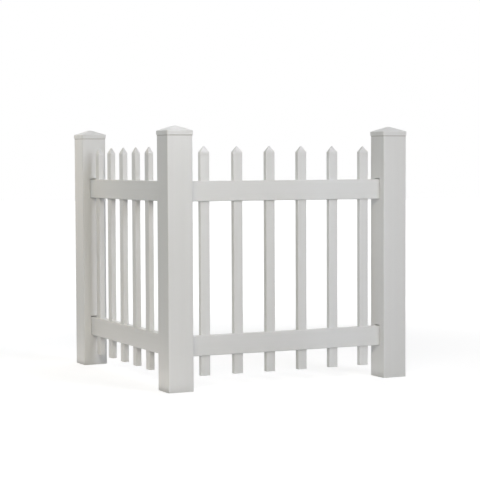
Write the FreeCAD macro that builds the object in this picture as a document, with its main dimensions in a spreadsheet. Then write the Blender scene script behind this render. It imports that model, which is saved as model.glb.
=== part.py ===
import FreeCAD, Part
import math
import os
import Sketcher

# Corner unit of a white vinyl picket fence, in millimetres.
# Three hollow posts stand at the ends and the corner of two panels set at a right angle.
# The origin is the centre of the corner post's foot, at ground level, with +Z up.
# The front panel runs along +X from the corner post, and the left panel runs along +Y.

doc = FreeCAD.newDocument("picket_fence_corner")

# Driving sizes: name, value, what it is
driving_sizes = [
    ("post_width", 101.6, "outside of the square post"),
    ("post_wall", 3.8, "wall of the post's extrusion"),
    ("post_corner", 4.0, "outer radius of the post's corners"),
    ("post_height", 963.0, "ground to the rim of the post, under its cap"),
    ("bay_front", 914.4, "corner post to right post, centre to centre"),
    ("bay_left", 914.4, "corner post to left post, centre to centre"),
    ("rail_depth", 38.1, "rail, front to back"),
    ("rail_height", 76.2, "rail, top to bottom"),
    ("rail_wall", 2.4, "wall of the rail's extrusion"),
    ("rail_corner", 2.6, "outer radius of the rail's corners"),
    ("rail_reach", 24.0, "length of a rail's end that goes in past the post's face"),
    ("rail_side_play", 0.8, "gap at each side of a rail in the post's routed hole"),
    ("rail_top_play", 3.4, "gap over a rail in the post's routed hole"),
    ("low_rail_base", 127.0, "ground to the lower rail's underside"),
    ("top_rail_drop", 182.8, "rim of the post down to the top rail's upper face"),
    ("picket_width", 38.1, "picket, across its broad face"),
    ("picket_depth", 22.2, "picket, front to back"),
    ("picket_wall", 1.8, "wall of the picket's extrusion"),
    ("picket_corner", 3.2, "outer radius of the picket's corners"),
    ("picket_play", 0.3, "gap round a picket in the rail's routed hole"),
    ("picket_count", 6, "pickets in each panel"),
    ("picket_pitch", 136.0, "picket to picket, centre to centre"),
    ("picket_below", 76.2, "length of a picket under the lower rail"),
    ("picket_above", 95.8, "length of a picket over the top rail, without its cap"),
    ("post_cap_play", 0.3, "gap between the post and its cap's skirt"),
    ("post_cap_wall", 2.2, "wall of the post cap's skirt at its lower edge"),
    ("post_cap_flare", 0.4, "how far the skirt's upper edge stands out past its lower edge"),
    ("post_cap_socket", 12.0, "skirt's lower edge to the shoulder on the post's rim"),
    ("post_cap_skirt", 15.5, "skirt's lower edge to the eave"),
    ("post_cap_rise", 19.0, "eave to the tip of the post cap"),
    ("post_cap_tip", 10.0, "width of the blunt tip"),
    ("post_cap_ledge", 5.0, "width of the shoulder that bears on the post's rim"),
    ("post_cap_roof", 2.4, "thickness of the post cap's roof under its tip"),
    ("picket_cap_band", 10.0, "picket's rim to the eave of its cap, flush with the picket"),
    ("picket_cap_rise", 23.5, "eave to the tip of the picket cap"),
    ("picket_cap_tip", 4.0, "width of the blunt tip"),
    ("picket_cap_plug", 16.0, "length of the cap's plug inside the picket"),
    ("picket_cap_play", 0.25, "gap between the plug and the inside of the picket"),
    ("picket_cap_wall", 1.6, "wall of the plug"),
    ("picket_cap_roof", 2.6, "thickness of the picket cap's roof under its tip"),
]

sheet = doc.addObject("Spreadsheet::Sheet", "Sizes")
for row, (name, value, meaning) in enumerate(driving_sizes, start=1):
    sheet.set("A%d" % row, name)
    sheet.set("B%d" % row, str(value))
    sheet.setAlias("B%d" % row, name)
    sheet.set("C%d" % row, meaning)
doc.recompute()

# Lengths that several pieces share, written once from the driving sizes
top_rail_base = "(Sizes.post_height - Sizes.top_rail_drop - Sizes.rail_height)"
picket_base = "(Sizes.low_rail_base - Sizes.picket_below)"
picket_length = "(Sizes.post_height - Sizes.top_rail_drop + Sizes.picket_above - %s)" % picket_base
rail_start = "(Sizes.post_width / 2 - Sizes.rail_reach)"

# Width, depth and corner of the post, the picket and the picket's inside
post_outside = ("Sizes.post_width", "Sizes.post_width", "Sizes.post_corner")
picket_outside = ("Sizes.picket_width", "Sizes.picket_depth", "Sizes.picket_corner")
picket_inside = ("(Sizes.picket_width - 2 * Sizes.picket_wall)",
                 "(Sizes.picket_depth - 2 * Sizes.picket_wall)",
                 "(Sizes.picket_corner - Sizes.picket_wall)")

# A sketch's own numbers for the ends and centre of a line or arc, and for its two axes
start_point, end_point, centre_point = range(1, 4)
level_axis, vertical_axis = range(-1, -3, -1)
sketch_origin = (level_axis, start_point)

up_axis = FreeCAD.Vector(0, 0, 1)
parts = []


def new_body(label, turn):
    """A body with its own label, turned about the vertical by a whole number of degrees."""
    body = doc.addObject("PartDesign::Body", label)
    body.Label = label
    body.Placement = FreeCAD.Placement(FreeCAD.Vector(), FreeCAD.Rotation(up_axis, turn))
    parts.append(body)
    return body


def place(body, along_x, along_y, along_z):
    """Ties the body's place to the driving sizes."""
    body.setExpression("Placement.Base.x", along_x)
    body.setExpression("Placement.Base.y", along_y)
    body.setExpression("Placement.Base.z", along_z)


def origin_plane(body, role):
    return [feature for feature in body.Origin.OriginFeatures if feature.Role == role][0]


def plane_sketch(body, name, role, offsets):
    """A sketch on one of the body's own origin planes, shifted by expressions in its own axes."""
    sketch = body.newObject("Sketcher::SketchObject", name)
    sketch.AttachmentSupport = [(origin_plane(body, role), "")]
    sketch.MapMode = "FlatFace"
    for axis, expression in offsets.items():
        sketch.setExpression("AttachmentOffset.Base." + axis, expression)
    return sketch


def drive(sketch, name, constraint, expression):
    """Adds a named size to a sketch and ties it to an expression."""
    number = sketch.addConstraint(constraint)
    sketch.renameConstraint(number, name)
    sketch.setExpression("Constraints." + name, expression)


def closed_outline(sketch, corners):
    """Straight sides through the corners and back to the first, joined end to end."""
    points = [FreeCAD.Vector(*corner, 0) for corner in corners]
    sides = []
    for index, point in enumerate(points):
        following = points[(index + 1) % len(points)]
        sides.append(sketch.addGeometry(Part.LineSegment(point, following), False))
    for index, side in enumerate(sides):
        following = sides[(index + 1) % len(sides)]
        sketch.addConstraint(Sketcher.Constraint("Coincident", side, end_point, following, start_point))
    return sides


def rounded_rectangle(sketch, name, width, depth, corner):
    """A rectangle with round corners, centred on the sketch, its three sizes given as expressions."""
    half_width = sketch.evalExpression(width) / 2
    half_depth = sketch.evalExpression(depth) / 2
    radius = sketch.evalExpression(corner)
    flat_x = half_width - radius
    flat_y = half_depth - radius
    corners = [(flat_x, -flat_y), (flat_x, flat_y), (-flat_x, flat_y), (-flat_x, -flat_y)]
    outward = [(0, -1), (1, 0), (0, 1), (-1, 0)]
    quarter = math.pi / 2

    # Four sides, each from the last corner to the next one, and an arc after each side
    sides = []
    arcs = []
    for index in range(4):
        step = FreeCAD.Vector(*outward[index], 0) * radius
        before = FreeCAD.Vector(*corners[index - 1], 0) + step
        centre = FreeCAD.Vector(*corners[index], 0)
        sides.append(sketch.addGeometry(Part.LineSegment(before, centre + step), False))
        circle = Part.Circle(centre, up_axis, radius)
        arc = Part.ArcOfCircle(circle, (index - 1) * quarter, index * quarter)
        arcs.append(sketch.addGeometry(arc, False))

    for index in range(4):
        next_side = sides[(index + 1) % 4]
        side = sides[index]
        arc = arcs[index]
        sketch.addConstraint(Sketcher.Constraint("Tangent", side, end_point, arc, start_point))
        sketch.addConstraint(Sketcher.Constraint("Tangent", arc, end_point, next_side, start_point))
        level = "Horizontal" if index % 2 == 0 else "Vertical"
        sketch.addConstraint(Sketcher.Constraint(level, side))
    for index in range(3):
        sketch.addConstraint(Sketcher.Constraint("Equal", arcs[index], arcs[index + 1]))
    middle = Sketcher.Constraint("Symmetric", arcs[0], centre_point, arcs[2], centre_point, *sketch_origin)
    sketch.addConstraint(middle)

    bottom, right, top, left = sides
    across = Sketcher.Constraint("DistanceX", left, start_point, right, start_point, 2 * half_width)
    along = Sketcher.Constraint("DistanceY", bottom, start_point, top, start_point, 2 * half_depth)
    drive(sketch, name + "Corner", Sketcher.Constraint("Radius", arcs[0], radius), corner)
    drive(sketch, name + "Width", across, width)
    drive(sketch, name + "Depth", along, depth)


def plain_rectangle(sketch, name, width, depth):
    """A rectangle with square corners, centred on the sketch, its two sizes given as expressions."""
    half_width = sketch.evalExpression(width) / 2
    half_depth = sketch.evalExpression(depth) / 2
    corners = [(-half_width, -half_depth), (half_width, -half_depth), (half_width, half_depth),
               (-half_width, half_depth)]
    sides = closed_outline(sketch, corners)
    bottom, right, top, left = sides
    for index, side in enumerate(sides):
        level = "Horizontal" if index % 2 == 0 else "Vertical"
        sketch.addConstraint(Sketcher.Constraint(level, side))
    middle = Sketcher.Constraint("Symmetric", bottom, start_point, top, start_point, *sketch_origin)
    sketch.addConstraint(middle)
    across = Sketcher.Constraint("DistanceX", bottom, start_point, bottom, end_point, 2 * half_width)
    along = Sketcher.Constraint("DistanceY", right, start_point, right, end_point, 2 * half_depth)
    drive(sketch, name + "Width", across, width)
    drive(sketch, name + "Depth", along, depth)


def cut_rectangle(sketch, name, width, depth, corner):
    """A rectangle with corners cut at 45 degrees, each cut touching the round that the corner would have."""
    half_width = sketch.evalExpression(width) / 2
    half_depth = sketch.evalExpression(depth) / 2
    cut = "(2 - sqrt(2)) * (%s)" % corner
    leg = sketch.evalExpression(cut)
    flat_x = half_width - leg
    flat_y = half_depth - leg
    corners = [(-flat_x, -half_depth), (flat_x, -half_depth), (half_width, -flat_y), (half_width, flat_y),
               (flat_x, half_depth), (-flat_x, half_depth), (-half_width, flat_y), (-half_width, -flat_y)]
    sides = closed_outline(sketch, corners)
    bottom, right, top, left = sides[::2]
    for mirror, pair in ((vertical_axis, (bottom, top)), (level_axis, (right, left))):
        for side in pair:
            sketch.addConstraint(Sketcher.Constraint("Symmetric", side, start_point, side, end_point, mirror))
    for side, opposite in ((bottom, top), (right, left)):
        middle = Sketcher.Constraint("Symmetric", side, start_point, opposite, start_point, *sketch_origin)
        sketch.addConstraint(middle)
    across = Sketcher.Constraint("DistanceX", left, start_point, right, start_point, 2 * half_width)
    along = Sketcher.Constraint("DistanceY", bottom, start_point, top, start_point, 2 * half_depth)
    drive(sketch, name + "Width", across, width)
    drive(sketch, name + "Depth", along, depth)
    for axis in ("X", "Y"):
        step = Sketcher.Constraint("Distance" + axis, bottom, end_point, right, start_point, leg)
        drive(sketch, name + "Cut" + axis, step, cut)


def roof_cut_outline(sketch, reach, foot, tip, top, clear):
    """The space over a gable: it slopes from the foot, out at the reach, to a flat tip at the top."""
    out, low, flat, peak, high = [sketch.evalExpression(size) for size in (reach, foot, tip, top, clear)]
    corners = [(-out, low), (-flat / 2, peak), (flat / 2, peak), (out, low), (out, high), (-out, high)]
    rising, ridge, falling, right, upper, left = closed_outline(sketch, corners)
    for level, side in (("Horizontal", upper), ("Vertical", right), ("Vertical", left)):
        sketch.addConstraint(Sketcher.Constraint(level, side))
    for side, point, other, other_point in ((ridge, start_point, ridge, end_point),
                                            (rising, start_point, falling, end_point)):
        mirrored = Sketcher.Constraint("Symmetric", side, point, other, other_point, vertical_axis)
        sketch.addConstraint(mirrored)
    tip_width = Sketcher.Constraint("DistanceX", ridge, start_point, ridge, end_point, flat)
    drive(sketch, "TipWidth", tip_width, tip)
    for name, axis, side, point, value, size in (
            ("Reach", "DistanceX", falling, end_point, out, reach),
            ("Foot", "DistanceY", falling, end_point, low, foot),
            ("Top", "DistanceY", ridge, end_point, peak, top),
            ("Clear", "DistanceY", right, end_point, high, clear)):
        drive(sketch, name, Sketcher.Constraint(axis, *sketch_origin, side, point, value), size)


def grown(outline, margin):
    """An outline's width, depth and corner with the margin, an expression, added on every side."""
    width, depth, corner = outline
    return ("(%s + 2 * (%s))" % (width, margin), "(%s + 2 * (%s))" % (depth, margin),
            "(%s + (%s))" % (corner, margin))


def tube_profile(sketch, width, depth, corner, wall):
    """The section of a thick extrusion: a round-cornered outline and a square-cornered one inside it."""
    rounded_rectangle(sketch, "Outer", width, depth, corner)
    plain_rectangle(sketch, "Inner", "%s - 2 * %s" % (width, wall), "%s - 2 * %s" % (depth, wall))


def pad(body, name, sketch, length):
    feature = body.newObject("PartDesign::Pad", name)
    feature.Profile = sketch
    feature.setExpression("Length", length)
    return feature


def pocket(body, name, sketch, length):
    """Cuts from the sketch against the direction that its plane faces."""
    feature = body.newObject("PartDesign::Pocket", name)
    feature.Profile = sketch
    feature.setExpression("Length", length)
    return feature


def make_post(label, turn, faces):
    """A square hollow post, open at its foot and rim, with a routed hole for each rail's end.

    The holes are on the local +X face, and also on the local +Y face of the corner post.
    Each rail lies on the lower edge of its hole, and the hole is taller than the rail.
    """
    body = new_body(label, turn)
    section = plane_sketch(body, "PostSection", "XY_Plane", {})
    tube_profile(section, *post_outside, "Sizes.post_wall")
    pad(body, "PostTube", section, "Sizes.post_height")
    hole_width = "Sizes.rail_depth + 2 * Sizes.rail_side_play"
    hole_height = "Sizes.rail_height + Sizes.rail_top_play"
    for face in faces:
        role = "YZ_Plane" if face == "east" else "XZ_Plane"
        outward = "Sizes.post_width / 2" if face == "east" else "-Sizes.post_width / 2"
        for level, base in (("Low", "Sizes.low_rail_base"), ("Top", top_rail_base)):
            middle = "%s + (%s) / 2" % (base, hole_height)
            hole = plane_sketch(body, face + level + "Outline", role, {"y": middle, "z": outward})
            rounded_rectangle(hole, "Hole", hole_width, hole_height, "Sizes.rail_corner")
            cut = pocket(body, face + level + "Hole", hole, "2 * Sizes.post_wall")
            cut.Reversed = face != "east"
    return body


def make_rail(label, turn, bay):
    """A hollow rail from post to post, routed through top and bottom for its pickets.

    Its local X runs along the rail from its end inside the first post.
    """
    body = new_body(label, turn)
    section = plane_sketch(body, "RailSection", "YZ_Plane", {})
    tube_profile(section, "Sizes.rail_depth", "Sizes.rail_height", "Sizes.rail_corner", "Sizes.rail_wall")
    pad(body, "RailTube", section, "%s - 2 * %s" % (bay, rail_start))
    first = "%s - %s" % (first_picket(bay), rail_start)
    hole = plane_sketch(body, "PicketHoleOutline", "XY_Plane", {"x": first, "z": "Sizes.rail_height / 2"})
    cut_rectangle(hole, "Hole", *grown(picket_outside, "Sizes.picket_play"))
    cut = pocket(body, "PicketHole", hole, "Sizes.rail_height")
    doc.recompute()
    pattern = body.newObject("PartDesign::LinearPattern", "PicketHoles")
    pattern.Originals = [cut]
    pattern.Direction = (hole, ["H_Axis"])
    pattern.setExpression("Length", "(Sizes.picket_count - 1) * Sizes.picket_pitch")
    pattern.setExpression("Occurrences", "Sizes.picket_count")
    body.Tip = pattern
    return body


def first_picket(bay):
    """First post's centre to the first picket's centre, with the pickets centred in the bay."""
    return "(%s - (Sizes.picket_count - 1) * Sizes.picket_pitch) / 2" % bay


def make_picket(label, turn):
    """A slim hollow picket, open at its lower end, that stands through both rails."""
    body = new_body(label, turn)
    section = plane_sketch(body, "PicketSection", "XY_Plane", {})
    rounded_rectangle(section, "Outer", *picket_outside)
    cut_rectangle(section, "Inner", *picket_inside)
    pad(body, "PicketTube", section, picket_length)
    return body


def cut_roof(body, cap, eave_level, eaves):
    """Two cuts across a block leave four slopes, from the eaves out at each side up to a blunt tip.

    The eaves are the half widths along local X and Y, and all sizes are expressions.
    """
    top = "(%s + %srise)" % (eave_level, cap)
    for role, eave in zip(("XZ_Plane", "YZ_Plane"), eaves):
        slope = "%srise / (%s - %stip / 2)" % (cap, eave, cap)
        foot_level = "%s * (1 - %s)" % (eave_level, slope)
        outline = plane_sketch(body, "RoofCutOutline" + role[:2], role, {})
        roof_cut_outline(outline, "%s + %s" % (eave, eave_level), foot_level, cap + "tip", top,
                         "%s + 2 * %sroof" % (top, cap))
        cut = pocket(body, "RoofCut" + role[:2], outline, "8 * " + eaves[0])
        cut.SideType = "Symmetric"


def hollow_roof(body, cap, spans, low, high):
    """A pointed hollow that follows the roof inside, as wide as the spans at its low end."""
    hollow = body.newObject("PartDesign::SubtractiveWedge", "RoofHollow")
    hollow.AttachmentSupport = [(origin_plane(body, "XZ_Plane"), "")]
    hollow.MapMode = "FlatFace"
    for axis, span in zip("XZ", spans):
        hollow.setExpression(axis + "min", "-%s / 2" % span)
        hollow.setExpression(axis + "max", "%s / 2" % span)
        hollow.setExpression(axis + "2min", "-%stip / 4" % cap)
        hollow.setExpression(axis + "2max", "%stip / 4" % cap)
    hollow.setExpression("Ymin", low)
    hollow.setExpression("Ymax", "%s - %sroof" % (high, cap))


def make_post_cap(label):
    """A hollow moulded cap: a flared skirt over the post's end, an eave, and a low four-sided roof.

    The shoulder inside the skirt bears on the post's rim, and the roof is hollow above it.
    Its local origin is the middle of the skirt's lower edge.
    """
    body = new_body(label, 0)
    cap = "Sizes.post_cap_"
    eave_level = cap + "skirt"
    top = "(%s + %srise)" % (eave_level, cap)

    # Skirt: a block whose faces lean out by the flare between its lower edge and the eave
    foot = plane_sketch(body, "SkirtFoot", "XY_Plane", {})
    foot_outline = grown(post_outside, "%splay + %swall" % (cap, cap))
    rounded_rectangle(foot, "Foot", *foot_outline)
    block = pad(body, "SkirtBlock", foot, "%s + %sroof" % (top, cap))
    doc.recompute()
    flats = [abs(face.normalAt(0, 0).z) > 0.5 for face in block.Shape.Faces]
    lowest = min(range(len(flats)), key=lambda index: block.Shape.Faces[index].CenterOfMass.z)
    flare = body.newObject("PartDesign::Draft", "SkirtFlare")
    flare.Base = (block, ["Face%d" % (index + 1) for index, flat in enumerate(flats) if not flat])
    flare.NeutralPlane = (block, ["Face%d" % (lowest + 1)])
    flare.Reversed = True
    flare.setExpression("Angle", "atan(%sflare / %s)" % (cap, eave_level))
    eaves = ["(%s / 2 + %sflare)" % (span, cap) for span in foot_outline[:2]]
    cut_roof(body, cap, eave_level, eaves)

    # Inside: a socket for the post up to the shoulder, and a pointed hollow above it
    socket = plane_sketch(body, "SocketOutline", "XY_Plane", {"z": cap + "socket"})
    rounded_rectangle(socket, "Socket", *grown(post_outside, cap + "play"))
    pocket(body, "Socket", socket, cap + "socket")
    hollow_roof(body, cap, grown(post_outside, "-%sledge" % cap)[:2], cap + "socket", top)
    return body


def make_picket_cap(label, turn):
    """A hollow moulded cap: a band flush with the picket, a steep four-sided roof, and a plug below.

    The band bears on the picket's rim, and the plug goes down inside the picket.
    Its local origin is the middle of the rim.
    """
    body = new_body(label, turn)
    cap = "Sizes.picket_cap_"
    eave_level = cap + "band"
    top = "(%s + %srise)" % (eave_level, cap)
    rim = plane_sketch(body, "BandFoot", "XY_Plane", {})
    rounded_rectangle(rim, "Band", *picket_outside)
    pad(body, "BandBlock", rim, "%s + %sroof" % (top, cap))
    cut_roof(body, cap, eave_level, ["(%s / 2)" % span for span in picket_outside[:2]])

    # Plug: its corners are cut as the picket's inner ones are, and its bore runs up to the eave
    plug_foot = plane_sketch(body, "PlugFoot", "XY_Plane", {"z": "-%splug" % cap})
    plug_outline = grown(picket_inside, "-%splay" % cap)
    cut_rectangle(plug_foot, "Plug", *plug_outline)
    pad(body, "Plug", plug_foot, cap + "plug")
    bore = plane_sketch(body, "BoreOutline", "XY_Plane", {"z": eave_level})
    bore_spans = grown(plug_outline, "-%swall" % cap)[:2]
    plain_rectangle(bore, "Bore", *bore_spans)
    pocket(body, "Bore", bore, "%s + %splug" % (eave_level, cap))
    hollow_roof(body, cap, bore_spans, eave_level, top)
    return body


# Posts: the corner post takes a rail on two faces, and the end posts on one
place(make_post("corner_post", 0, ["east", "north"]), "0", "0", "0")
place(make_post("right_post", 180, ["east"]), "Sizes.bay_front", "0", "0")
place(make_post("left_post", -90, ["east"]), "0", "Sizes.bay_left", "0")
post_places = [("corner", "0", "0"), ("right", "Sizes.bay_front", "0"), ("left", "0", "Sizes.bay_left")]
for label, along_x, along_y in post_places:
    place(make_post_cap(label + "_post_cap"), along_x, along_y, "Sizes.post_height - Sizes.post_cap_socket")

# Panels: two rails and a row of capped pickets each
picket_count = int(round(sheet.get("picket_count")))
for panel, turn, bay in (("front", 0, "Sizes.bay_front"), ("left", 90, "Sizes.bay_left")):
    for level, base in (("bottom", "Sizes.low_rail_base"), ("top", top_rail_base)):
        rail = make_rail("%s_%s_rail" % (panel, level), turn, bay)
        middle = base + " + Sizes.rail_height / 2"
        if panel == "front":
            place(rail, rail_start, "0", middle)
        else:
            place(rail, "0", rail_start, middle)
    for number in range(picket_count):
        along = "%s + %d * Sizes.picket_pitch" % (first_picket(bay), number)
        picket = make_picket("%s_picket_%d" % (panel, number + 1), turn)
        picket_cap = make_picket_cap("%s_picket_cap_%d" % (panel, number + 1), turn)
        cap_height = "%s + %s" % (picket_base, picket_length)
        if panel == "front":
            place(picket, along, "0", picket_base)
            place(picket_cap, along, "0", cap_height)
        else:
            place(picket, "0", along, picket_base)
            place(picket_cap, "0", along, cap_height)

doc.recompute()

# Nothing is written unless every object is sound
for item in doc.Objects:
    if "Invalid" in item.State or "Error" in item.State:
        raise RuntimeError("%s failed: %s" % (item.Label, item.State))
for body in parts:
    if body.Shape.isNull() or not body.Shape.isValid():
        raise RuntimeError("%s has no sound shape" % body.Label)
    if len(body.Shape.Solids) != 1:
        raise RuntimeError("%s is not one solid" % body.Label)

os.makedirs("parts", exist_ok=True)
for body in parts:
    body.Shape.exportStep("parts/%s.step" % body.Label)
    print("%-22s volume %8.1f cm3" % (body.Label, body.Shape.Volume / 1000))
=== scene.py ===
import math

import bpy
import numpy as np
from mathutils import Matrix, Vector


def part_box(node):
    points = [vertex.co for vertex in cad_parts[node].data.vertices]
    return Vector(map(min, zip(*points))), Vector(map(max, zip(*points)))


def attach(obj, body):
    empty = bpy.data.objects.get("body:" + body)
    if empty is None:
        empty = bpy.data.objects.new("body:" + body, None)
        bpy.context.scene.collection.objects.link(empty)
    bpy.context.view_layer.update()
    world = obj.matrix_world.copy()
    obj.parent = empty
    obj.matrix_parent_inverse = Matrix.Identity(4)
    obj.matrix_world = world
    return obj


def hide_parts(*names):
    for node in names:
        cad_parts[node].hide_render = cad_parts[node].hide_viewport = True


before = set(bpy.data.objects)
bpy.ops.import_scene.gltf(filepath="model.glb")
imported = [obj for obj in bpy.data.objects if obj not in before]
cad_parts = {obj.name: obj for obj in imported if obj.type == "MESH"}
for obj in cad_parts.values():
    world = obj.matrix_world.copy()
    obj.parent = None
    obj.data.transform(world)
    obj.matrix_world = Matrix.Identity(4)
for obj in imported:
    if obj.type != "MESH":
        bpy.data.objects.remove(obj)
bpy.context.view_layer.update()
mm = 0.001
print("frame loaded,", len(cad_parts), "nodes")


# Camera, fitted to the edges of the posts, rails and pickets in the photograph
photoCamera = {
    "place": (-2267.9, -5348.0, 845.1),  # mm from the middle of the corner post's foot
    "turn": 25.35,  # degrees round from a square view of the front panel
    "dip": 2.80,  # degrees below level
    "roll": -0.25,  # degrees
    "lens": 117.66,  # mm
    "sensor": 36.0,  # mm across the square picture
}


def makeCamera(spec):
    data = bpy.data.cameras.new("photoCamera")
    data.sensor_width = spec["sensor"]
    data.lens = spec["lens"]
    camera = bpy.data.objects.new("photoCamera", data)
    bpy.context.scene.collection.objects.link(camera)
    heading = Matrix.Rotation(-math.radians(spec["turn"]), 4, "Z")
    tilt = Matrix.Rotation(math.radians(90 - spec["dip"]), 4, "X")
    roll = Matrix.Rotation(math.radians(spec["roll"]), 4, "Z")
    camera.matrix_world = Matrix.Translation(Vector(spec["place"]) * mm) @ heading @ tilt @ roll
    bpy.context.scene.camera = camera


makeCamera(photoCamera)
bpy.context.scene.view_settings.view_transform = "Standard"
print("camera set")


def linear(hexColour):  # sRGB hex to a linear colour with alpha
    channels = np.array([int(hexColour[i:i + 2], 16) for i in (1, 3, 5)]) / 255
    curved = ((channels + 0.055) / 1.055) ** 2.4
    return (*np.where(channels <= 0.04045, channels / 12.92, curved), 1.0)


# Adds one node: a socket's entry in inputs is a value, or an output socket to link from.
# A Mix of colours takes them at sockets 6 and 7, and gives its result at output 2
def addNode(tree, kind, inputs=(), **settings):
    node = tree.nodes.new("ShaderNode" + kind)
    for name, value in settings.items():
        setattr(node, name, value)
    for socket, value in dict(inputs).items():
        if isinstance(value, bpy.types.NodeSocket):
            tree.links.new(value, node.inputs[socket])
        else:
            node.inputs[socket].default_value = value
    return node


def emptyTree(owner):
    owner.use_nodes = True
    owner.node_tree.nodes.clear()
    return owner.node_tree


# 1 for rays from the camera, in gloss and through clear things, 0 for rays that light a surface
def seenRays(tree):
    rays = addNode(tree, "LightPath")
    direct = addNode(tree, "Math", {0: rays.outputs["Is Camera Ray"], 1: rays.outputs["Is Glossy Ray"]},
                     operation="MAXIMUM")
    either = addNode(tree, "Math", {0: direct.outputs[0], 1: rays.outputs["Is Transmission Ray"]},
                     operation="MAXIMUM")
    return either.outputs[0]


# Studio: a wide warm soft box far out in front on the left, a cool one on the right and a tall one above it,
# a cool and a small warm lamp high behind on the left, a narrow one on the corner cap, lit cards beside the
# posts, and a pale surround that is brightest behind on the right, so that the back sides aren't dull
studio = {
    "surround": "#FFFFFF",
    "evenFill": 0.012,  # how strongly the surround lights the object from all round
    "backFill": 2.2,  # and from its brightest side
    "backSide": (0.707, 0.707, 0),  # direction of that side
    "backFocus": 2.0,  # more keeps that light nearer to its direction
    "lamps": {  # place, aim and size in mm, power in watts, spread in degrees
        "leftBox": {"place": (-2882, -4612, 3186), "aim": (0, 0, 500), "size": (3000, 1300),
                    "power": 150.0, "spread": 180, "colour": "#FFFAEC"},
        "rightBox": {"place": (1911, -5549, 1898), "aim": (0, 0, 550), "size": (1300, 1300),
                     "power": 61.8, "spread": 180, "colour": "#F7FBFF"},
        "tallBox": {"place": (1885, -3545, 5059), "aim": (-100, 0, 450), "size": (1300, 3000),
                    "power": 15.6, "spread": 70, "colour": "#EEF0FF"},
        "backLamp": {"place": (-1200, 1300, 1600), "aim": (0, 900, 700), "size": (900, 900),
                     "power": 6.8, "spread": 180, "colour": "#EAF8FF"},
        "warmLamp": {"place": (-600, 1500, 1300), "aim": (-20, 850, 500), "size": (500, 500),
                     "power": 0.62, "spread": 70, "colour": "#FFE1B9"},
        "capLamp": {"place": (250, -440, 1850), "aim": (-2, -12, 985), "size": (60, 60),
                    "power": 0.009, "spread": 11, "colour": "#FFFFFF"},
        "leftCard": {"place": (-170, 400, 4), "aim": (-170, 400, 1000), "size": (200, 1300),
                     "power": 0.494, "spread": 180, "colour": "#FFF8F2"},
        "footCard": {"place": (10, -160, 4), "aim": (10, -160, 1000), "size": (200, 160),
                     "power": 0.018, "spread": 180, "colour": "#FFFFFF"},
        "rightCard": {"place": (770, 20, 4), "aim": (770, 20, 1000), "size": (160, 300),
                      "power": 0.054, "spread": 180, "colour": "#FFFFFF"},
        "postCard": {"place": (430, -210, 480), "aim": (864, -40, 480), "size": (150, 900),
                     "power": 0.12, "spread": 90, "colour": "#E1ECFF"},
    },
}


def makeLamp(name, spec):
    data = bpy.data.lights.new(name, "AREA")
    data.shape = "RECTANGLE"
    data.size, data.size_y = np.array(spec["size"]) * mm
    data.energy = spec["power"]
    data.spread = math.radians(spec["spread"])
    data.color = linear(spec["colour"])[:3]
    lamp = bpy.data.objects.new(name, data)
    bpy.context.scene.collection.objects.link(lamp)
    beam = Vector(spec["aim"]) - Vector(spec["place"])
    lamp.location = Vector(spec["place"]) * mm
    lamp.rotation_euler = beam.to_track_quat("-Z", "Y").to_euler()


def makeStudio(spec):
    for name, lamp in spec["lamps"].items():
        makeLamp(name, lamp)
    world = bpy.data.worlds.new("paleSurround")
    bpy.context.scene.world = world
    tree = emptyTree(world)
    heading = addNode(tree, "TexCoord").outputs["Generated"]
    facing = addNode(tree, "VectorMath", {0: heading, 1: spec["backSide"]}, operation="DOT_PRODUCT")
    behind = addNode(tree, "Math", {0: facing.outputs["Value"], 1: 0.0}, operation="MAXIMUM")
    lobe = addNode(tree, "Math", {0: behind.outputs[0], 1: spec["backFocus"]}, operation="POWER")
    level = addNode(tree, "Math", {0: lobe.outputs[0], 1: spec["backFill"], 2: spec["evenFill"]},
                    operation="MULTIPLY_ADD")
    lighting = addNode(tree, "Background", {"Color": linear(spec["surround"]), "Strength": level.outputs[0]})
    seen = addNode(tree, "Background", {"Color": (1, 1, 1, 1), "Strength": 1.0})
    either = addNode(tree, "MixShader", {0: seenRays(tree), 1: lighting.outputs[0], 2: seen.outputs[0]})
    addNode(tree, "OutputWorld", {"Surface": either.outputs[0]})


makeStudio(studio)
print("studio lit")


# Floor: matt sheet, dim so that it throws little light back up, and lifted to white where it is seen,
# so that only the soft shadow stays
floorSheet = {
    "radius": 30000,  # mm
    "sides": 96,
    "colour": "#A9A9A9",
    "middle": (450, 450),  # mm, the middle of the unit's plan
    "nearLift": 0.74,  # light added where it is seen, beside the object
    "farLift": 1.0,
    "nearReach": 900,  # mm from the middle
    "farReach": 3500,
}


def makeFloor(spec):
    angles = np.linspace(0, 2 * np.pi, spec["sides"], endpoint=False)
    rim = np.stack([np.cos(angles), np.sin(angles), np.zeros_like(angles)], axis=1) * spec["radius"] * mm
    mesh = bpy.data.meshes.new("floorSheet")
    mesh.from_pydata(rim.tolist(), [], [list(range(spec["sides"]))])
    floor = bpy.data.objects.new("floorSheet", mesh)
    bpy.context.scene.collection.objects.link(floor)
    material = bpy.data.materials.new("matt white sheet")
    tree = emptyTree(material)
    sheet = addNode(tree, "BsdfDiffuse", {"Color": linear(spec["colour"])})
    place = addNode(tree, "TexCoord")
    fromMiddle = addNode(tree, "VectorMath", {0: place.outputs["Object"],
                                              1: (*np.array(spec["middle"]) * mm, 0)}, operation="DISTANCE")
    lift = addNode(tree, "MapRange", {"Value": fromMiddle.outputs["Value"],
                                      "From Min": spec["nearReach"] * mm, "From Max": spec["farReach"] * mm,
                                      "To Min": spec["nearLift"], "To Max": spec["farLift"]},
                   interpolation_type="SMOOTHSTEP")
    glow = addNode(tree, "Emission", {"Color": (1, 1, 1, 1), "Strength": lift.outputs[0]})
    lifted = addNode(tree, "AddShader", {0: sheet.outputs[0], 1: glow.outputs[0]})
    either = addNode(tree, "MixShader", {0: seenRays(tree), 1: sheet.outputs[0], 2: lifted.outputs[0]})
    addNode(tree, "OutputMaterial", {"Surface": either.outputs[0]})
    mesh.materials.append(material)


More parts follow.
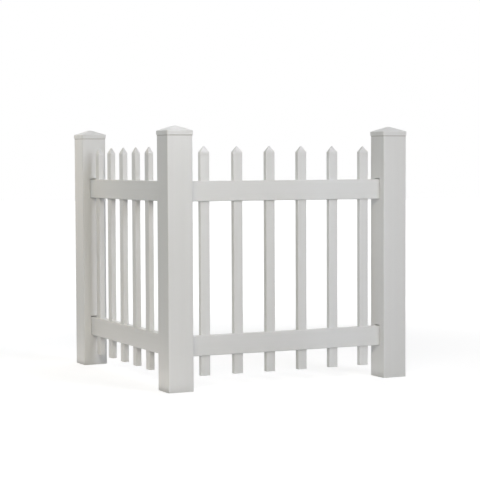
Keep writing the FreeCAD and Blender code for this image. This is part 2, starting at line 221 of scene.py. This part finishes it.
makeFloor(floorSheet)
print("floor laid")


# Extruded PVC vinyl, white with titanium dioxide, drawn through a die and cooled in a water bath.
# The eye gets a clean satin white, with faint tone bands and drag lines along the length, a slow
# waviness in the gloss, and on the posts a fine line of painted shade under the cap's skirt, standing in for
# its shadow.
extrudedVinyl = {
    "colour": "#E3E3E2",
    "bandColour": "#DCDCDA",
    "bandWidth": 16.0,  # mm, tone bands: real ones are a few mm, drawn wide enough to show
    "bandLength": 700.0,
    "bandNoise": (0.35, 0.75),  # noise from no band to a full one
    "bandShare": 0.28,
    "dragWidth": 2.2,  # mm, drag lines of the die: real ones are under 1 mm, drawn wider to show
    "dragLength": 900.0,
    "dragHeight": 0.008,
    "waveLength": 150.0,  # mm, sag between cooling rollers
    "waveHeight": 0.25,
    "cloudSize": 260.0,  # mm, handling marks and uneven tone
    "cloudNoise": (0.45, 0.8),
    "cloudShare": 0.22,
    "paintedShadeColour": "#98948A",  # painted shade under the skirt of a post's cap, standing in for its shadow
    "paintedShadeReach": 4.5,  # mm
    "paintedShadeShare": 0.75,
    "roughNoise": (0.3, 0.7),
    "roughness": (0.34, 0.46),
    "ior": 1.53,
}


def makeExtrudedVinyl(spec, name, along):  # along: the axis of the extrusion, 0 to 2
    material = bpy.data.materials.new(name)
    tree = emptyTree(material)
    place = addNode(tree, "TexCoord").outputs["Object"]

    def stretched(width, length):  # pattern space: one unit is width across and length along the extrusion
        scale = [1 / (width * mm)] * 3
        scale[along] = 1 / (length * mm)
        return addNode(tree, "Mapping", {"Vector": place, "Scale": scale}).outputs[0]

    bands = addNode(tree, "TexNoise", {"Vector": stretched(spec["bandWidth"], spec["bandLength"]),
                                       "Scale": 1.0, "Detail": 3.0, "Roughness": 0.6})
    drag = addNode(tree, "TexNoise", {"Vector": stretched(spec["dragWidth"], spec["dragLength"]),
                                      "Scale": 1.0, "Detail": 2.0})
    wave = addNode(tree, "TexNoise", {"Vector": place, "Scale": 1 / (spec["waveLength"] * mm), "Detail": 1.0})
    cloud = addNode(tree, "TexNoise", {"Vector": place, "Scale": 1 / (spec["cloudSize"] * mm), "Detail": 4.0})

    # Colour: bands first, then clouds, then a line of painted shade under the cap's skirt, at a height only the
    # posts reach
    bandLow, bandHigh = spec["bandNoise"]
    bandShare = addNode(tree, "MapRange", {"Value": bands.outputs[0], "From Min": bandLow, "From Max": bandHigh,
                                           "To Max": spec["bandShare"]})
    banded = addNode(tree, "Mix", {0: bandShare.outputs[0], 6: linear(spec["colour"]),
                                   7: linear(spec["bandColour"])}, data_type="RGBA")
    cloudLow, cloudHigh = spec["cloudNoise"]
    cloudShare = addNode(tree, "MapRange", {"Value": cloud.outputs[0], "From Min": cloudLow,
                                            "From Max": cloudHigh, "To Max": spec["cloudShare"]})
    clouded = addNode(tree, "Mix", {0: cloudShare.outputs[0], 6: banded.outputs[2],
                                    7: linear(spec["bandColour"])}, data_type="RGBA")
    height = addNode(tree, "SeparateXYZ", {0: place})
    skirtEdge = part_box("corner_post_cap")[0][2]
    # Painted shade: a dark line, fading out downwards, on the posts just below the cap's skirt, standing in for
    # the skirt's shadow
    paintedShadeShare = addNode(tree, "MapRange", {"Value": height.outputs["Z"], "From Max": skirtEdge,
                                           "From Min": skirtEdge - spec["paintedShadeReach"] * mm,
                                           "To Min": 0.0, "To Max": spec["paintedShadeShare"]})
    withPaintedShade = addNode(tree, "Mix", {0: paintedShadeShare.outputs[0], 6: clouded.outputs[2],
                                  7: linear(spec["paintedShadeColour"])}, data_type="RGBA")

    # Gloss and relief
    roughLow, roughHigh = spec["roughNoise"]
    smoothest, roughest = spec["roughness"]
    rough = addNode(tree, "MapRange", {"Value": bands.outputs[0], "From Min": roughLow, "From Max": roughHigh,
                                       "To Min": smoothest, "To Max": roughest})
    waves = addNode(tree, "Bump", {"Height": wave.outputs[0], "Strength": 1.0,
                                   "Distance": spec["waveHeight"] * mm})
    relief = addNode(tree, "Bump", {"Height": drag.outputs[0], "Strength": 1.0,
                                    "Distance": spec["dragHeight"] * mm, "Normal": waves.outputs[0]})
    vinyl = addNode(tree, "BsdfPrincipled", {"Base Color": withPaintedShade.outputs[2], "Roughness": rough.outputs[0],
                                             "IOR": spec["ior"], "Normal": relief.outputs[0]})
    addNode(tree, "OutputMaterial", {"Surface": vinyl.outputs[0]})
    return material


# Moulded PVC vinyl, injected into a polished mould with a fine spark texture.
# The eye gets a slightly brighter and glossier white than the extrusions, with a soft orange peel.
mouldedVinyl = {
    "colour": "#E4E4E3",
    "flowColour": "#DCDCDA",
    "flowSize": 38.0,  # mm, flow marks spreading from the gate
    "flowCurl": 0.8,
    "flowNoise": (0.4, 0.75),  # noise from no mark to a full one
    "flowShare": 0.5,
    "peelSize": 2.6,  # mm
    "peelHeight": 0.02,
    "roughNoise": (0.3, 0.7),
    "roughness": (0.28, 0.38),
    "ior": 1.53,
}


def makeMouldedVinyl(spec, name):
    material = bpy.data.materials.new(name)
    tree = emptyTree(material)
    place = addNode(tree, "TexCoord").outputs["Object"]
    flow = addNode(tree, "TexNoise", {"Vector": place, "Scale": 1 / (spec["flowSize"] * mm), "Detail": 3.0,
                                      "Distortion": spec["flowCurl"]})
    peel = addNode(tree, "TexNoise", {"Vector": place, "Scale": 1 / (spec["peelSize"] * mm), "Detail": 2.0})
    flowLow, flowHigh = spec["flowNoise"]
    flowShare = addNode(tree, "MapRange", {"Value": flow.outputs[0], "From Min": flowLow, "From Max": flowHigh,
                                           "To Max": spec["flowShare"]})
    colour = addNode(tree, "Mix", {0: flowShare.outputs[0], 6: linear(spec["colour"]),
                                   7: linear(spec["flowColour"])}, data_type="RGBA")
    roughLow, roughHigh = spec["roughNoise"]
    smoothest, roughest = spec["roughness"]
    rough = addNode(tree, "MapRange", {"Value": flow.outputs[0], "From Min": roughLow, "From Max": roughHigh,
                                       "To Min": smoothest, "To Max": roughest})
    relief = addNode(tree, "Bump", {"Height": peel.outputs[0], "Strength": 1.0,
                                    "Distance": spec["peelHeight"] * mm})
    vinyl = addNode(tree, "BsdfPrincipled", {"Base Color": colour.outputs[2], "Roughness": rough.outputs[0],
                                             "IOR": spec["ior"], "Normal": relief.outputs[0]})
    addNode(tree, "OutputMaterial", {"Surface": vinyl.outputs[0]})
    return material


uprightVinyl = makeExtrudedVinyl(extrudedVinyl, "extruded PVC vinyl, upright", 2)
frontVinyl = makeExtrudedVinyl(extrudedVinyl, "extruded PVC vinyl, along the front", 0)
sideVinyl = makeExtrudedVinyl(extrudedVinyl, "extruded PVC vinyl, along the side", 1)
capVinyl = makeMouldedVinyl(mouldedVinyl, "moulded PVC vinyl")


def finishFor(node):
    if node.endswith("rail"):
        return frontVinyl if node.startswith("front") else sideVinyl
    return uprightVinyl


capNodes = [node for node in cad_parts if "cap" in node]
for node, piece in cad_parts.items():
    piece.data.materials.clear()
    piece.data.materials.append(capVinyl if node in capNodes else finishFor(node))
print("vinyl on every node")


# Rounds the corners of a path of rows: each inner row becomes a quadratic curve between points a set
# reach before and after it, with the corner itself as the handle
def roundedPath(corners, reach, steps):
    middle = corners[1:-1]

    def towards(other):
        step = other - middle
        length = np.linalg.norm(step[:, :3], axis=1, keepdims=True)
        return middle + step * np.minimum(reach[1:-1, None] / length, 0.5)

    start = towards(corners[:-2])[:, None]
    end = towards(corners[2:])[:, None]
    t = np.linspace(0, 1, steps + 1)[None, :, None]
    curve = start * (1 - t) ** 2 + middle[:, None] * 2 * t * (1 - t) + end * t ** 2
    return np.concatenate([corners[:1], curve.reshape(-1, corners.shape[1]), corners[-1:]])


# Stacks rings along a profile of half width, half depth, height and corner radius, all in mm.
# A ring is a rectangle with round corners: an arc's point is the corner's centre plus radius times
# (cos, sin), and the flat sides are the runs between the arcs.
def ringStack(profile, arcSteps):
    halfWidth, halfDepth, height, radius = profile.T[:, :, None]
    quarter = np.linspace(0, np.pi / 2, arcSteps + 1)
    turn = (np.arange(4)[:, None] * np.pi / 2 + quarter).ravel()
    sideX = np.repeat([1, -1, -1, 1], arcSteps + 1)
    sideY = np.repeat([1, 1, -1, -1], arcSteps + 1)
    x = sideX * (halfWidth - radius) + radius * np.cos(turn)
    y = sideY * (halfDepth - radius) + radius * np.sin(turn)
    return np.stack([x, y, np.broadcast_to(height, x.shape)], axis=2)


# A closed shell over the rings: quads between neighbours, and a fan to a pole inside the first and last
def shellPiece(name, rings, place, material):
    rows, columns = rings.shape[:2]
    grid = np.arange(rows * columns).reshape(rows, columns)
    following = np.roll(grid, -1, axis=1)
    quads = np.stack([grid[:-1], grid[1:], following[1:], following[:-1]], axis=2).reshape(-1, 4)
    firstPole, lastPole = rows * columns, rows * columns + 1
    firstFan = np.stack([np.full(columns, firstPole), grid[0], following[0]], axis=1)
    lastFan = np.stack([np.full(columns, lastPole), following[-1], grid[-1]], axis=1)
    poles = np.stack([rings[0].mean(axis=0), rings[-1].mean(axis=0)])
    points = (np.concatenate([rings.reshape(-1, 3), poles]) + place) * mm
    mesh = bpy.data.meshes.new(name)
    mesh.from_pydata(points.tolist(), [], quads.tolist() + firstFan.tolist() + lastFan.tolist())
    mesh.shade_smooth()
    mesh.materials.append(material)
    piece = bpy.data.objects.new(name, mesh)
    bpy.context.scene.collection.objects.link(piece)
    flatter = piece.modifiers.new("flatSidesStayFlat", "WEIGHTED_NORMAL")
    flatter.keep_sharp = False
    return piece


# Post cap: a skirt over the post's end and a low roof, with moulded edges. Sizes in mm
postCap = {
    "tip": 10.0,  # width of the blunt tip
    "skirt": 15.5,  # lower edge to eave
    "flare": 0.4,
    "wall": 2.2,
    "socket": 12.0,  # lower edge to the shoulder inside
    "ledge": 7.9,  # eave in to the hollow under the roof
    "roof": 2.4,
    "corner": 6.9,  # radius of the upright corners at the eave
    "hip": 2.0,  # radius along the roof's hips
    "hipEnd": 0.92,  # how far down the slope they keep it, as a share
    "tipRound": 2.5,  # how far each edge's rounding reaches along the faces beside it
    "hipRound": 0.1,
    "eaveRound": 1.3,
    "rimRound": 0.35,
    "insideRound": 0.4,
}


# The profile runs from the tip down the roof and skirt, round the rim, and up the inside to the roof's hollow.
# Each row: half width, half depth, height, corner radius, reach of the rounding
def postCapProfile(spec, half, top):
    tip = np.full(2, spec["tip"] / 2)
    hipFoot = tip + (half - tip) * spec["hipEnd"]
    foot = half - spec["flare"]
    socket = foot - spec["wall"]
    hollow = half - spec["ledge"]
    footCorner = spec["corner"] - spec["flare"]
    socketCorner = footCorner - spec["wall"]
    rows = [
        (*tip / 2, top, spec["hip"] / 2, 0),
        (*tip, top, spec["hip"], spec["tipRound"]),
        (*hipFoot, top - (top - spec["skirt"]) * spec["hipEnd"], spec["hip"], spec["hipRound"]),
        (*half, spec["skirt"], spec["corner"], spec["eaveRound"]),
        (*foot, 0, footCorner, spec["rimRound"]),
        (*socket, 0, socketCorner, spec["rimRound"]),
        (*socket, spec["socket"], socketCorner, spec["insideRound"]),
        (*hollow, spec["socket"], spec["hip"], spec["insideRound"]),
        (*tip / 2, top - spec["roof"], spec["hip"] / 4, 0),
    ]
    return np.array(rows)


# Picket cap: a band flush with the picket, a steep roof, and a plug down inside the picket. Sizes in mm
picketCap = {
    "tip": 4.0,  # width of the blunt tip
    "plug": 16.0,  # plug's end to the picket's rim
    "band": 10.0,  # picket's rim to eave
    "picketWall": 1.8,
    "plugPlay": 0.25,
    "plugWall": 1.6,
    "roof": 2.6,
    "corner": 3.2,  # radius of the upright corners
    "hip": 1.1,
    "hipEnd": 0.9,
    "plugCorner": 1.15,
    "tipRound": 1.4,
    "hipRound": 0.1,
    "eaveRound": 1.0,
    "seamRound": 1.5,  # leaves a fine groove over the picket's rim
    "shoulderRound": 0.2,
    "plugRound": 0.5,
    "insideRound": 0.4,
}


# From the tip down the roof and band, in under the band, down and up the plug, to the roof's hollow
def picketCapProfile(spec, half, top):
    tip = np.full(2, spec["tip"] / 2)
    hipFoot = tip + (half - tip) * spec["hipEnd"]
    plug = half - spec["picketWall"] - spec["plugPlay"]
    bore = plug - spec["plugWall"]
    eave = spec["plug"] + spec["band"]
    rows = [
        (*tip / 2, top, spec["hip"] / 2, 0),
        (*tip, top, spec["hip"], spec["tipRound"]),
        (*hipFoot, top - (top - eave) * spec["hipEnd"], spec["hip"], spec["hipRound"]),
        (*half, eave, spec["corner"], spec["eaveRound"]),
        (*half, spec["plug"], spec["corner"], spec["seamRound"]),
        (*plug, spec["plug"], spec["plugCorner"], spec["shoulderRound"]),
        (*plug, 0, spec["plugCorner"], spec["plugRound"]),
        (*bore, 0, spec["plugCorner"] / 2, spec["insideRound"]),
        (*bore, eave, spec["plugCorner"] / 2, spec["insideRound"]),
        (*tip / 2, top - spec["roof"], spec["hip"] / 4, 0),
    ]
    return np.array(rows)


capSteps = {"edge": 4, "arc": 6}  # faces round an edge and round an upright corner


def makeCap(node):
    low, high = [np.array(corner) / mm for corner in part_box(node)]
    half = (high - low)[:2] / 2
    place = np.append((low + high)[:2] / 2, low[2])
    if "picket" in node:
        rows = picketCapProfile(picketCap, half, high[2] - low[2])
    else:
        rows = postCapProfile(postCap, half, high[2] - low[2])
    profile = roundedPath(rows[:, :4], rows[:, 4], capSteps["edge"])
    piece = shellPiece(node + "_shell", ringStack(profile, capSteps["arc"]), place, capVinyl)
    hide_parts(node)
    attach(piece, "root")


for node in capNodes:
    makeCap(node)
print("caps moulded,", len(capNodes))
